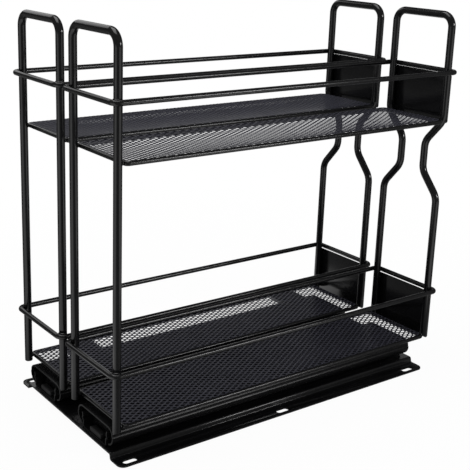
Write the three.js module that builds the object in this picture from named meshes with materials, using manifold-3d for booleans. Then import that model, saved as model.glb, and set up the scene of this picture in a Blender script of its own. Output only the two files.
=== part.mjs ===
import * as THREE from 'three';
import { mergeVertices } from 'three/addons/utils/BufferGeometryUtils.js';
import Module from 'manifold-3d';

// Pull-out spice rack: two two-tier wire racks, each on its own ball-bearing slide, on one base plate.
// Millimetres. +Z is up, the racks pull out towards -Y, and the origin is on the ground under the middle.

// Stock: thick wire for the loops, thin wire for the guards, finer wire for the shelf frames, bent sheet,
// and the gap left at a weld
const POST_DIAMETER = 5.7;
const GUARD_DIAMETER = 3.8;
const FRAME_DIAMETER = 3.2;
const SHEET = 1.2;
const WELD_GAP = 0.1;
const POST_SIDES = 10;
const WIRE_SIDES = 8;
const BEND_STEPS = { rearLoop: 6, frontLoop: 6, ring: 4, sheet: 3, fixedRace: 4, movingRace: 9 };

// Racks: post spacing across, gap between the facing posts of the two racks, and heights above ground
const POST_SPACING = 56.6;
const RACK_GAP = 17.8;
const LOOP_Y = 145;
const LOOP_TOP_Z = { front: 282.9, rear: 281.7 };
const LOOP_FOOT_Z = { front: 24.3, rear: 21.6 };
const LOOP_BEND_RADIUS = 9;
const GUARD_Z = { upper: 240.5, lower: 63.5 };
const SHELF_Z = { upper: 202.45, lower: 25.3 };

// Bottle neck of the front loop: how far each leg steps in, and where its bends are
const NECK_INSET = 16.3;
const SHOULDER_Z = { top: 202.4, foot: 183.8 };
const HIP_Z = { top: 160.3, foot: 141.3 };

// Shelf frame, mesh sheet and front panels
const FRAME = { halfWidth: 30.8, cornerRadius: 2.5 };
const MESH = { halfWidth: 30.4, halfLength: 140.9, thickness: 0.9, cornerRadius: 1 };
const DIAMOND = { across: 4, along: 12, strand: 2.6, border: 2.2 };
const PANEL = { halfWidth: 29.4, thickness: 1, cornerRadius: 2, gap: 0.15 };
const PANEL_SPAN = { upper: { foot: 200.4, top: 238.65 }, lower: { foot: 21.4, top: 61.3 } };

// Base plate: a raised platform with a flange along each long side
const BASE = { front: -137.5, rear: 147.5, halfWidth: 75, cornerRadius: 5 };
const PLATFORM_TOP_Z = 5.1;
const RISER = { top: 60.8, foot: 61.6, bendRadius: 1.3 };
const SLOT = { x: 70.2, length: 10.5, width: 4.5, places: [137.5, 7, -123.5] };

// Slide: the rolled edges of the moving rail, the balls inside them, and the fixed rail between the balls
const MOVING_RAIL = { front: -133.6, rear: 145.4, bendX: 17.1, bendZ: 14.6, bendRadius: 6.4, lipEnd: -80 };
const BALL = { radius: 2.8, count: 5, spacing: 16 };
const RACE_CLEARANCE = 0.25;
const FIXED_RAIL = { front: -135, rear: 145.9, flangeX: 15.4, flangeTopZ: 10.9, gap: 0.2, bendRadius: 1.5 };
const FIXED_RACE_SPAN = { top: 144, foot: 216 };
const CAGE = { length: 76, middle: 6.5, height: 4.4, thickness: 0.8 };

// Stops: a lug folded down from the moving rail, and the blocks that it meets at the ends of its travel
const TRAVEL = 190;
const LUG = { front: 139, thickness: 1.2, width: 22, footZ: 8.5 };
const STOP_BLOCK = { width: 15, height: 3.4, gap: 0.1, pegRadius: 2, pegClearance: 0.1 };
const STOP_CLEARANCE = 0.4;
const BUMPER_LENGTH = 4.7;
const TRAVEL_STOP_LENGTH = 8;

// Carrier straps across the moving rail under the lower mesh, and the screws and rivets of the slide
const STRAP = { y: 103.5, width: 24.3, thickness: 1, gap: 0.15, bendRadius: 1 };
const SCREW = { x: 10, shank: 1.9, head: 3.6, headHeight: 1.8, headEdge: 0.5, gap: 0.05 };
const RIVET = { shank: 1.6, head: 3.2, headHeight: 1.4, tail: 2.4, tailHeight: 0.9, gap: 0.05 };
const RIVET_PLACES = [112, 20, -100];
const SHANK_CLEARANCE = 0.15;
const SHANK_SIDES = 8;

// Finishes, as colour, roughness and metalness
const FINISHES = {
  powderCoat: { color: 0x151516, roughness: 0.45, metalness: 0.3 },
  meshCoat: { color: 0x2b2b31, roughness: 0.5, metalness: 0.3 },
  railCoat: { color: 0x131314, roughness: 0.4, metalness: 0.4 },
  zinc: { color: 0x9c9c9a, roughness: 0.35, metalness: 0.9 },
  plastic: { color: 0x101011, roughness: 0.6, metalness: 0 },
};

// Values that follow from the driving dimensions
const RACK_CENTRE_X = (POST_SPACING + RACK_GAP) / 2;
const POST_X = POST_SPACING / 2;
const GUARD_OFFSET = (POST_DIAMETER + GUARD_DIAMETER) / 2 + WELD_GAP;
const FRAME_HALF_LENGTH = LOOP_Y - (POST_DIAMETER + FRAME_DIAMETER) / 2 - WELD_GAP;
const MESH_FOOT_OFFSET = FRAME_DIAMETER / 2 + WELD_GAP;
const MOVING_WEB_Z = MOVING_RAIL.bendZ + MOVING_RAIL.bendRadius;
const MOVING_WEB_TOP_Z = MOVING_WEB_Z + SHEET / 2;
const BALL_X = MOVING_RAIL.bendX + MOVING_RAIL.bendRadius - SHEET / 2 - RACE_CLEARANCE - BALL.radius;
const FIXED_RACE_RADIUS = BALL.radius + RACE_CLEARANCE + SHEET / 2;
const FIXED_WEB_Z = PLATFORM_TOP_Z + FIXED_RAIL.gap + SHEET / 2;
const FIXED_WEB_TOP_Z = FIXED_WEB_Z + SHEET / 2;
const STRAP_HALF_LENGTH = FRAME.halfWidth - FRAME_DIAMETER / 2 - WELD_GAP;
const STRAP_FOOT_Z = MOVING_WEB_TOP_Z + STRAP.gap;
const STRAP_TOP_Z = SHELF_Z.lower + MESH_FOOT_OFFSET - STRAP.gap;
const BUMPER_MIDDLE = LUG.front + LUG.thickness + STOP_CLEARANCE + BUMPER_LENGTH / 2;
const TRAVEL_STOP_MIDDLE = LUG.front - TRAVEL - STOP_CLEARANCE - TRAVEL_STOP_LENGTH / 2;

const wasm = await Module();
wasm.setup();

function toSolid(geometry) {
  const bare = geometry.clone();
  bare.deleteAttribute('normal');
  bare.deleteAttribute('uv');
  const merged = mergeVertices(bare);
  return new wasm.Manifold(new wasm.Mesh({
    numProp: 3,
    vertProperties: merged.attributes.position.array,
    triVerts: merged.index.array,
  }));
}

function toGeometry(solid) {
  const { vertProperties, triVerts } = solid.getMesh();
  const geometry = new THREE.BufferGeometry();
  geometry.setAttribute('position', new THREE.BufferAttribute(vertProperties, 3));
  geometry.setIndex(new THREE.BufferAttribute(triVerts, 1));
  return geometry;
}

function cut(geometry, tools) {
  return toGeometry(tools.reduce((solid, tool) => solid.subtract(toSolid(tool)), toSolid(geometry)));
}

function join(geometry, other) {
  return toGeometry(toSolid(geometry).add(toSolid(other)));
}

function keepInside(geometry, other) {
  return toGeometry(toSolid(geometry).intersect(toSolid(other)));
}

// A line through the corners with each corner rounded to the radius. A closed line ends where it starts.
function roundedLine(corners, radius, closed, bendSteps) {
  const points = [];
  corners.forEach((corner, i) => {
    const isEnd = !closed && (i === 0 || i === corners.length - 1);
    if (isEnd) {
      points.push(corner.clone());
      return;
    }
    const before = corners[(i + corners.length - 1) % corners.length];
    const after = corners[(i + 1) % corners.length];
    const inward = corner.clone().sub(before).normalize();
    const outward = after.clone().sub(corner).normalize();
    const turn = inward.angleTo(outward);
    const start = corner.clone().addScaledVector(inward, -radius * Math.tan(turn / 2));
    const side = outward.clone().addScaledVector(inward, -inward.dot(outward)).normalize();
    for (let step = 0; step <= bendSteps; step++) {
      const angle = (turn * step) / bendSteps;
      points.push(start.clone()
        .addScaledVector(inward, radius * Math.sin(angle))
        .addScaledVector(side, radius * (1 - Math.cos(angle))));
    }
  });
  if (closed) points.push(points[0].clone());
  return points;
}

// A wire's centre line, which takes exactly the points given, so straight stretches need no extra rings
class BentWire extends THREE.Curve {
  constructor(points, closed) {
    super();
    this.points = points;
    this.closed = closed;
  }

  getSpacedPoints() {
    return this.points;
  }

  getTangentAt(u, target = new THREE.Vector3()) {
    const last = this.points.length - 1;
    const i = Math.round(u * last);
    const here = this.points[i];
    const isSeam = this.closed && (i === 0 || i === last);
    const before = isSeam ? this.points[last - 1] : this.points[Math.max(i - 1, 0)];
    const after = isSeam ? this.points[1] : this.points[Math.min(i + 1, last)];
    const arriving = here.clone().sub(before).normalize();
    const leaving = after.clone().sub(here).normalize();
    return target.copy(arriving).add(leaving).normalize();
  }
}

function roundSection(diameter, sides) {
  const points = Array.from({ length: sides }, (_, i) => {
    const angle = (2 * Math.PI * (i + 0.5)) / sides;
    return new THREE.Vector2(Math.cos(angle), Math.sin(angle)).multiplyScalar(diameter / 2);
  });
  return new THREE.Shape(points);
}

function bentWire(points, diameter, sides, closed = false) {
  const geometry = new THREE.ExtrudeGeometry(roundSection(diameter, sides), {
    steps: points.length - 1,
    extrudePath: new BentWire(points, closed),
  });
  if (!closed) return geometry;
  const { start, count } = geometry.groups[1];
  const sideFaces = geometry.attributes.position.array.slice(3 * start, 3 * (start + count));
  const ring = new THREE.BufferGeometry();
  ring.setAttribute('position', new THREE.BufferAttribute(sideFaces, 3));
  return ring;
}

// The outline of a bent sheet of even thickness, from the line along its middle
function sheetShape(line, thickness) {
  const oneFace = [];
  const otherFace = [];
  line.forEach((point, i) => {
    const before = line[Math.max(i - 1, 0)];
    const after = line[Math.min(i + 1, line.length - 1)];
    const leaving = new THREE.Vector2(after.x - point.x, after.y - point.y);
    const arriving = new THREE.Vector2(point.x - before.x, point.y - before.y);
    if (leaving.length() === 0) leaving.copy(arriving);
    if (arriving.length() === 0) arriving.copy(leaving);
    const along = leaving.normalize().add(arriving.normalize()).normalize();
    const half = thickness / 2 / along.dot(arriving);
    oneFace.push(new THREE.Vector2(point.x - along.y * half, point.y + along.x * half));
    otherFace.unshift(new THREE.Vector2(point.x + along.y * half, point.y - along.x * half));
  });
  return new THREE.Shape([...oneFace, ...otherFace]);
}

function flatPoint(x, y) {
  return new THREE.Vector3(x, y, 0);
}

// Extrudes an X-Z outline along Y, from the front end to the rear end
function alongY(shape, front, rear) {
  const geometry = new THREE.ExtrudeGeometry(shape, { depth: rear - front, bevelEnabled: false });
  return geometry.rotateX(Math.PI / 2).translate(0, rear, 0);
}

// Extrudes a Y-Z outline along X, to the same length on both sides of the middle
function alongX(shape, halfLength) {
  const geometry = new THREE.ExtrudeGeometry(shape, { depth: 2 * halfLength, bevelEnabled: false });
  return geometry.rotateX(Math.PI / 2).rotateZ(Math.PI / 2).translate(-halfLength, 0, 0);
}

function roundedRectangle(left, right, low, high, radius) {
  const shape = new THREE.Shape();
  shape.absarc(right - radius, low + radius, radius, -Math.PI / 2, 0);
  shape.absarc(right - radius, high - radius, radius, 0, Math.PI / 2);
  shape.absarc(left + radius, high - radius, radius, Math.PI / 2, Math.PI);
  shape.absarc(left + radius, low + radius, radius, Math.PI, 1.5 * Math.PI);
  return shape;
}

function upright(shape, height, lowZ) {
  const geometry = new THREE.ExtrudeGeometry(shape, { depth: height, bevelEnabled: false, curveSegments: 4 });
  return geometry.translate(0, 0, lowZ);
}

function box(width, length, height, x, y, lowZ) {
  return new THREE.BoxGeometry(width, length, height).translate(x, y, lowZ + height / 2);
}

function hole(radius, x, y, lowZ, highZ) {
  const sides = 10;
  const cylinder = new THREE.CylinderGeometry(radius, radius, highZ - lowZ, sides);
  return cylinder.rotateX(Math.PI / 2).translate(x, y, (lowZ + highZ) / 2);
}

// Loops: thick wire bent into an inverted U
function rearLoop() {
  const corners = [
    new THREE.Vector3(-POST_X, LOOP_Y, LOOP_FOOT_Z.rear),
    new THREE.Vector3(-POST_X, LOOP_Y, LOOP_TOP_Z.rear),
    new THREE.Vector3(POST_X, LOOP_Y, LOOP_TOP_Z.rear),
    new THREE.Vector3(POST_X, LOOP_Y, LOOP_FOOT_Z.rear),
  ];
  const line = roundedLine(corners, LOOP_BEND_RADIUS, false, BEND_STEPS.rearLoop);
  return bentWire(line, POST_DIAMETER, POST_SIDES);
}

function frontLoop() {
  const neckX = POST_X - NECK_INSET;
  const leg = [
    [POST_X, LOOP_FOOT_Z.front],
    [POST_X, HIP_Z.foot],
    [neckX, HIP_Z.top],
    [neckX, SHOULDER_Z.foot],
    [POST_X, SHOULDER_Z.top],
    [POST_X, LOOP_TOP_Z.front],
  ];
  const rightLeg = leg.map(([x, z]) => new THREE.Vector3(x, -LOOP_Y, z));
  const leftLeg = leg.map(([x, z]) => new THREE.Vector3(-x, -LOOP_Y, z)).reverse();
  const line = roundedLine([...rightLeg, ...leftLeg], LOOP_BEND_RADIUS, false, BEND_STEPS.frontLoop);
  return bentWire(line, POST_DIAMETER, POST_SIDES);
}

// Rings of thin wire: the guard wires pass outside the loops, the shelf frames lie between them
function wireRing(halfWidth, halfLength, cornerRadius, diameter, z) {
  const corners = [[1, 1], [-1, 1], [-1, -1], [1, -1]];
  const turns = corners.map(([x, y]) => new THREE.Vector3(x * halfWidth, y * halfLength, z));
  return bentWire(roundedLine(turns, cornerRadius, true, BEND_STEPS.ring), diameter, WIRE_SIDES, true);
}

function guardWire(tier) {
  return wireRing(POST_X + GUARD_OFFSET, LOOP_Y + GUARD_OFFSET, GUARD_OFFSET, GUARD_DIAMETER, GUARD_Z[tier]);
}

function shelfFrame(tier) {
  return wireRing(FRAME.halfWidth, FRAME_HALF_LENGTH, FRAME.cornerRadius, FRAME_DIAMETER, SHELF_Z[tier]);
}

function meshSheet(tier) {
  const { halfWidth, halfLength, thickness, cornerRadius } = MESH;
  const outline = roundedRectangle(-halfWidth, halfWidth, -halfLength, halfLength, cornerRadius);
  outline.holes.push(...diamondOpenings());
  return upright(outline, thickness, SHELF_Z[tier] + MESH_FOOT_OFFSET);
}

// Openings of a mesh sheet: rows of diamonds with a second set between them, so even strands are left
function diamondOpenings() {
  const { across, along, strand, border } = DIAMOND;
  const width = (2 * (MESH.halfWidth - border)) / across;
  const length = (2 * (MESH.halfLength - border)) / along;
  const sideDistance = (width * length) / 2 / Math.hypot(width, length);
  const share = 1 - strand / 2 / sideDistance;
  const openings = [];
  for (const inner of [0, 1]) {
    for (let i = 0; i < across - inner; i++) {
      for (let j = 0; j < along - inner; j++) {
        const x = (i - (across - inner - 1) / 2) * width;
        const y = (j - (along - inner - 1) / 2) * length;
        openings.push(diamond(x, y, (share * width) / 2, (share * length) / 2));
      }
    }
  }
  return openings;
}

function diamond(x, y, halfWidth, halfLength) {
  const corners = [[1, 0], [0, 1], [-1, 0], [0, -1]];
  return new THREE.Path(corners.map(([across, along]) => (
    new THREE.Vector2(x + across * halfWidth, y + along * halfLength)
  )));
}

function frontPanel(tier) {
  const { foot, top } = PANEL_SPAN[tier];
  const outline = roundedRectangle(-PANEL.halfWidth, PANEL.halfWidth, foot, top, PANEL.cornerRadius);
  const rear = -LOOP_Y - POST_DIAMETER / 2 - PANEL.gap;
  return alongY(outline, rear - PANEL.thickness, rear);
}

// Base plate: one pressing with rounded flange corners, slots for screws and holes for the rail rivets
function basePlate() {
  const flangeZ = SHEET / 2;
  const platformZ = PLATFORM_TOP_Z - SHEET / 2;
  const rightHalf = [
    flatPoint(RISER.top, platformZ),
    flatPoint(RISER.foot, flangeZ),
    flatPoint(BASE.halfWidth, flangeZ),
  ];
  const leftHalf = rightHalf.map((point) => flatPoint(-point.x, point.y)).reverse();
  const line = roundedLine([...leftHalf, ...rightHalf], RISER.bendRadius, false, BEND_STEPS.sheet);
  const pressing = alongY(sheetShape(line, SHEET), BASE.front, BASE.rear);
  const plan = roundedRectangle(-BASE.halfWidth, BASE.halfWidth, BASE.front, BASE.rear, BASE.cornerRadius);
  const trimmed = keepInside(pressing, upright(plan, 2 * PLATFORM_TOP_Z, -SHEET));
  const slots = [-1, 1].flatMap((side) => SLOT.places.map((y) => slotTool(side * SLOT.x, y)));
  const rivetHoles = [-1, 1].flatMap((side) => RIVET_PLACES.map((y) => (
    hole(RIVET.shank + SHANK_CLEARANCE, side * RACK_CENTRE_X, y, 0, 2 * PLATFORM_TOP_Z)
  )));
  return cut(trimmed, [...slots, ...rivetHoles]);
}

function slotTool(x, y) {
  const radius = SLOT.width / 2;
  const halfLength = SLOT.length / 2;
  const outline = roundedRectangle(x - radius, x + radius, y - halfLength, y + halfLength, radius - 0.01);
  return upright(outline, 3 * SHEET, -SHEET);
}

// Points on an arc in the X-Z plane, between two angles in degrees from +X
function arc(x, z, radius, startDegrees, endDegrees, steps) {
  return Array.from({ length: steps + 1 }, (_, i) => {
    const angle = THREE.MathUtils.degToRad(startDegrees + ((endDegrees - startDegrees) * i) / steps);
    return flatPoint(x + radius * Math.cos(angle), z + radius * Math.sin(angle));
  });
}

function mirrored(points) {
  return points.map((point) => flatPoint(-point.x, point.y)).reverse();
}

// Fixed rail: a channel whose flanges end in the inner ball races
function fixedRail() {
  const { front, rear, flangeX, flangeTopZ, bendRadius } = FIXED_RAIL;
  const { top, foot } = FIXED_RACE_SPAN;
  const race = arc(BALL_X, MOVING_RAIL.bendZ, FIXED_RACE_RADIUS, top, foot, BEND_STEPS.fixedRace);
  const flange = [flatPoint(flangeX, flangeTopZ), flatPoint(flangeX, FIXED_WEB_Z), flatPoint(0, FIXED_WEB_Z)];
  const bend = roundedLine(flange, bendRadius, false, BEND_STEPS.sheet).slice(0, -1);
  const rightHalf = [...race, ...bend];
  const rail = alongY(sheetShape([...rightHalf, ...mirrored(rightHalf)], SHEET), front, rear);
  const rivetHoles = RIVET_PLACES.map((y) => hole(RIVET.shank + SHANK_CLEARANCE, 0, y, 0, 2 * FIXED_WEB_Z));
  const pegHoles = [BUMPER_MIDDLE, TRAVEL_STOP_MIDDLE].map((y) => (
    hole(STOP_BLOCK.pegRadius + STOP_BLOCK.pegClearance, 0, y, 0, 2 * FIXED_WEB_Z)
  ));
  return cut(rail, [...rivetHoles, ...pegHoles]);
}

// Moving rail: rolled edges that hold the balls, and a stop lug folded down near its rear end
function movingRail() {
  const { front, rear, bendX, bendZ, bendRadius, lipEnd } = MOVING_RAIL;
  const rightHalf = arc(bendX, bendZ, bendRadius, lipEnd, 90, BEND_STEPS.movingRace);
  const rail = alongY(sheetShape([...rightHalf, ...mirrored(rightHalf)], SHEET), front, rear);
  const lugY = LUG.front + LUG.thickness / 2;
  const lug = box(LUG.width, LUG.thickness, MOVING_WEB_Z - LUG.footZ, 0, lugY, LUG.footZ);
  return cut(join(rail, lug), [-STRAP.y, STRAP.y].flatMap(screwHoles));
}

function screwHoles(y) {
  const radius = SCREW.shank + SHANK_CLEARANCE;
  return [-SCREW.x, SCREW.x].map((x) => hole(radius, x, y, MOVING_RAIL.bendZ, 2 * STRAP_TOP_Z));
}

// Ball cage: a strip with the balls held in it
function ballCage(side) {
  const x = side * BALL_X;
  const z = MOVING_RAIL.bendZ;
  const strip = box(CAGE.thickness, CAGE.length, CAGE.height, x, CAGE.middle, z - CAGE.height / 2);
  const places = Array.from({ length: BALL.count }, (_, i) => (
    CAGE.middle + (i - (BALL.count - 1) / 2) * BALL.spacing
  ));
  const balls = places.map((y) => new THREE.IcosahedronGeometry(BALL.radius, 1).translate(x, y, z));
  return balls.reduce(join, strip);
}

// Stop block on the web of the fixed rail, held by a peg through it
function stopBlock(middle, length) {
  const footZ = FIXED_WEB_TOP_Z + STOP_BLOCK.gap;
  const block = box(STOP_BLOCK.width, length, STOP_BLOCK.height, 0, middle, footZ);
  const pegFootZ = PLATFORM_TOP_Z + STOP_BLOCK.gap;
  return join(block, hole(STOP_BLOCK.pegRadius, 0, middle, pegFootZ, footZ + 1));
}

// Carrier strap: a shallow upturned channel that stands on the moving rail and carries the lower mesh
function carrierStrap(y) {
  const halfWidth = (STRAP.width - STRAP.thickness) / 2;
  const topZ = STRAP_TOP_Z - STRAP.thickness / 2;
  const corners = [
    flatPoint(y - halfWidth, STRAP_FOOT_Z),
    flatPoint(y - halfWidth, topZ),
    flatPoint(y + halfWidth, topZ),
    flatPoint(y + halfWidth, STRAP_FOOT_Z),
  ];
  const line = roundedLine(corners, STRAP.bendRadius, false, BEND_STEPS.sheet);
  return cut(alongX(sheetShape(line, STRAP.thickness), STRAP_HALF_LENGTH), screwHoles(y));
}

// Pan-head screw from inside the moving rail, up through its web and the top of the strap
function strapScrew() {
  const headTop = MOVING_WEB_Z - SHEET / 2 - SCREW.gap;
  const headFoot = headTop - SCREW.headHeight;
  return turned([
    [0, headFoot],
    [SCREW.head - SCREW.headEdge, headFoot],
    [SCREW.head, headFoot + SCREW.headEdge],
    [SCREW.head, headTop],
    [SCREW.shank, headTop],
    [SCREW.shank, STRAP_TOP_Z],
    [0, STRAP_TOP_Z],
  ]);
}

// Rivet through the base plate and the fixed rail, with a domed head on top and a flat tail underneath
function railRivet() {
  const seat = FIXED_WEB_TOP_Z + RIVET.gap;
  const tailTop = PLATFORM_TOP_Z - SHEET - RIVET.gap;
  return turned([
    [0, tailTop - RIVET.tailHeight],
    [RIVET.tail, tailTop - RIVET.tailHeight],
    [RIVET.tail, tailTop],
    [RIVET.shank, tailTop],
    [RIVET.shank, seat],
    [RIVET.head, seat],
    [RIVET.head * 0.75, seat + RIVET.headHeight * 0.75],
    [0, seat + RIVET.headHeight],
  ]);
}

// A solid turned about +Z, from a profile of radius and height
function turned(profile) {
  const points = profile.map(([radius, z]) => new THREE.Vector2(radius, z));
  return new THREE.LatheGeometry(points, SHANK_SIDES).rotateX(Math.PI / 2);
}

function addPiece(group, name, geometry, finish, x = 0, y = 0) {
  const mesh = new THREE.Mesh(geometry, new THREE.MeshStandardMaterial(FINISHES[finish]));
  mesh.name = name;
  mesh.position.set(x, y, 0);
  group.add(mesh);
}

function addBasket(rack, name) {
  addPiece(rack, `${name}_rear_loop`, rearLoop(), 'powderCoat');
  addPiece(rack, `${name}_front_loop`, frontLoop(), 'powderCoat');
  for (const tier of ['upper', 'lower']) {
    addPiece(rack, `${name}_${tier}_guard_wire`, guardWire(tier), 'powderCoat');
    addPiece(rack, `${name}_${tier}_shelf_frame`, shelfFrame(tier), 'powderCoat');
    addPiece(rack, `${name}_${tier}_mesh`, meshSheet(tier), 'meshCoat');
    addPiece(rack, `${name}_${tier}_front_panel`, frontPanel(tier), 'powderCoat');
  }
}

function addCarriage(rack, name) {
  addPiece(rack, `${name}_moving_rail`, movingRail(), 'railCoat');
  for (const [end, y] of [['front', -STRAP.y], ['rear', STRAP.y]]) {
    addPiece(rack, `${name}_${end}_strap`, carrierStrap(y), 'powderCoat');
    addPiece(rack, `${name}_${end}_strap_screw_a`, strapScrew(), 'zinc', -SCREW.x, y);
    addPiece(rack, `${name}_${end}_strap_screw_b`, strapScrew(), 'zinc', SCREW.x, y);
  }
}

function addSlideBed(rack, name) {
  addPiece(rack, `${name}_fixed_rail`, fixedRail(), 'railCoat');
  RIVET_PLACES.forEach((y, i) => addPiece(rack, `${name}_rail_rivet_${i + 1}`, railRivet(), 'zinc', 0, y));
  addPiece(rack, `${name}_rear_bumper`, stopBlock(BUMPER_MIDDLE, BUMPER_LENGTH), 'plastic');
  addPiece(rack, `${name}_travel_stop`, stopBlock(TRAVEL_STOP_MIDDLE, TRAVEL_STOP_LENGTH), 'plastic');
  addPiece(rack, `${name}_ball_cage_a`, ballCage(-1), 'zinc');
  addPiece(rack, `${name}_ball_cage_b`, ballCage(1), 'zinc');
}

const spiceRack = new THREE.Group();
addPiece(spiceRack, 'base_plate', basePlate(), 'powderCoat');
for (const [name, side] of [['left', -1], ['right', 1]]) {
  const rack = new THREE.Group();
  rack.position.x = side * RACK_CENTRE_X;
  addSlideBed(rack, name);
  addCarriage(rack, name);
  addBasket(rack, name);
  spiceRack.add(rack);
}

export default spiceRack;
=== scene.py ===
"""Pull-out spice rack: two two-tier wire racks on ball-bearing slides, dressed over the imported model."""
import math

import bmesh
import bpy
from bmesh.types import BMEdge, BMVert
from mathutils import Matrix, Vector


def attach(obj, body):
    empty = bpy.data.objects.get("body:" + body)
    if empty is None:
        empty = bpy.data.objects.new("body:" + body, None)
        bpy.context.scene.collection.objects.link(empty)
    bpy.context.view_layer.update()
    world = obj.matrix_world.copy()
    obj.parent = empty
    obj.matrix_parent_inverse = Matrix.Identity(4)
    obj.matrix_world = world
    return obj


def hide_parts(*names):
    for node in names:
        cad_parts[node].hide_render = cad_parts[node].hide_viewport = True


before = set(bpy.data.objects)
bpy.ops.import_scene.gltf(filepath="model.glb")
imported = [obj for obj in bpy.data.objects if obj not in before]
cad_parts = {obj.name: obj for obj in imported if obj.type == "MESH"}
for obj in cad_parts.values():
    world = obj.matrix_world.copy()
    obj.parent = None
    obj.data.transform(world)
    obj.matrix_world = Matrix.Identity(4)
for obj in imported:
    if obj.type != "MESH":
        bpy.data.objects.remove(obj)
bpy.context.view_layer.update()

# Pieces are built in millimetres, about the middle of their own rack, and brought to metres at the end
MM = 0.001
RACKS = {"left": -37.2, "right": 37.2}
TIERS = ("upper", "lower")
QUARTER_TURN = math.radians(90)

# How finely shapes are cut: degrees of a bend to a step, steps across rounded edges and corners, sides of
# round pieces, the distance within which points become one, and how near a cut a point counts as on it
BEND_STEP = 6.0
FEWEST_BEND_STEPS = 3
EDGE_STEPS = 3
SOFT_STEPS = 2
CORNER_STEPS = 6
POST_SIDES = 28
WIRE_SIDES = 20
TURNED_SIDES = 32
MERGE = 0.001
ON_THE_CUT = 0.0001

# Angles in degrees past which an edge is softened, and past which it is shaded as a sharp one
SOFT_ANGLE = 40
SHARP_ANGLE = 35
RAIL_SHARP_ANGLE = 18

# Wire of the loops, the guard rings and the shelf rings, and the rounding of its cut ends
POST_DIAMETER = 5.7
GUARD_DIAMETER = 3.8
SHELF_DIAMETER = 3.2
CUT_EDGE = 0.45

# Loops, with the bottle neck of the front one, guard rings and shelf rings
POST_X = 28.3
LOOP_Y = 145.0
LOOP_TOP_Z = {"front": 282.9, "rear": 281.7}
LOOP_FOOT_Z = {"front": 24.3, "rear": 21.6}
LOOP_BEND = 9.0
NECK_BEND = 14.0
NECK_X = 12.0
SHOULDER_Z = (183.8, 202.4)
HIP_Z = (141.3, 160.3)
WELD_GAP = 0.1
GUARD_Z = {"upper": 240.5, "lower": 63.5}
GUARD_OFFSET = (POST_DIAMETER + GUARD_DIAMETER) / 2 + WELD_GAP
SHELF_Z = {"upper": 202.45, "lower": 25.3}
SHELF_HALF_WIDTH = 30.8
SHELF_HALF_LENGTH = 140.45
SHELF_BEND = 2.5

# Welds: fillets above and below a guard ring, round a post, and beads where a shelf ring meets it
FILLET_LEVEL = 1.6
FILLET_OFFSET = 0.45
FILLET_RADIUS = 0.6
FILLET_SIDES = 10
BEAD_Y = 142.1
BEAD_HALF_SIZE = (1.7, 1.2, 1.5)
BEAD_FINENESS = 3

# Expanded metal: the sheet, how far its middle hangs down where nothing carries it, the diamonds, the strands
# round them, and which side of a strand is lifted
MESH_HALF_WIDTH = 30.1
MESH_HALF_LENGTH = 140.6
MESH_MIDDLE = 1.65
MESH_CORNER_CUT = 2.5
MESH_SAG = {"upper": 1.8, "lower": 0.0}
SAG_POWER_ACROSS = 2
SAG_POWER_ALONG = 8
DIAMOND_WIDTH = 4.1
DIAMOND_LENGTH = 6.9
STRAND_WIDTH = 1.14
STRAND_THICKNESS = 0.4
STRAND_LIFT = 0.1
LIFTED_SIDE = {"left_upper": 1, "left_lower": 1, "right_upper": -1, "right_lower": 1}

# Front panels
PANEL_HALF_WIDTH = 29.4
PANEL_THICKNESS = 1.0
PANEL_CORNER = 2.0
PANEL_EDGE = 0.25
PANEL_BACK_Y = -148.0
PANEL_SPAN = {"upper": (200.4, 238.7), "lower": (21.4, 61.3)}

# Base plate, with slots whose ends are a hair short of half circles, and the heights of the tools that cut
# its outline and its slots
SHEET = 1.2
SHEET_EDGE = 0.2
BASE_FRONT = -137.5
BASE_REAR = 147.5
BASE_HALF_WIDTH = 75.0
BASE_CORNER = 5.0
PLATFORM_Z = 4.5
FLANGE_Z = 0.6
RISER_TOP_X = 60.8
RISER_FOOT_X = 61.6
RISER_BEND = 1.3
SLOT_X = 70.2
SLOT_SIZE = (4.5, 10.5)
SLOT_HAIR = 0.01
SLOT_CORNER = SLOT_SIZE[0] / 2 - SLOT_HAIR
SLOT_PLACES = (137.5, 7.0, -123.5)
PLAN_TOOL_HEIGHT = 40.0
SLOT_TOOL_HEIGHT = 8.0

# Moving rail, with the angles between which the groove along its rolled edge lies, and its stop lug
CARRIER_FRONT = -133.6
CARRIER_REAR = 145.4
ROLL_X = 17.1
ROLL_Z = 14.6
ROLL_RADIUS = 6.4
ROLL_SWEEP = 170.0
GROOVE_SPAN = (67.0, 85.0)
GROOVE_DEPTH = 0.35
RAIL_EDGE = 0.06
WEB_Z = ROLL_Z + ROLL_RADIUS
LUG_Y = 139.6
LUG_WIDTH = 22.0
LUG_FOOT_Z = 8.5
LUG_DROP = 0.55
LUG_TOP_Z = WEB_Z - LUG_DROP
LUG_TAB = 5.0
LUG_BEND = 1.4
LUG_EDGE = 0.3

# Fixed rail, with the angles at which its ball races start and end
BED_FRONT = -135.0
BED_REAR = 145.9
BED_WEB_Z = 5.9
BED_FLANGE_X = 15.4
BED_FLANGE_TOP = 10.9
BED_BEND = 1.5
RACE_RADIUS = 3.65
RACE_SPAN = (216.0, 144.0)

# Balls, and the cages that hold them
BALL_X = 19.85
BALL_RADIUS = 2.8
BALL_SPACING = 16.0
BALL_COUNT = 5
BALL_FINENESS = 4
CAGE_MIDDLE = 6.5
CAGE_LENGTH = 76.0
CAGE_HEIGHT = 4.4
CAGE_THICKNESS = 0.8
CAGE_EDGE = 0.25
COLLAR_RADIUS = 0.45
COLLAR_SIDES = 10
COLLAR_STEPS = 24

# Stops on the fixed rail: each one's place along the rail, its length and the node that it stands for
STOP_WIDTH = 15.0
STOP_FOOT_Z = 6.6
STOP_HEIGHT = 3.4
STOP_EDGE = 0.6
STOP_EDGE_STEPS = 4
STOPS = {"bumper": (142.95, 4.7, "rear_bumper"), "travel_stop": (-55.4, 8.0, "travel_stop")}

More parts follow.
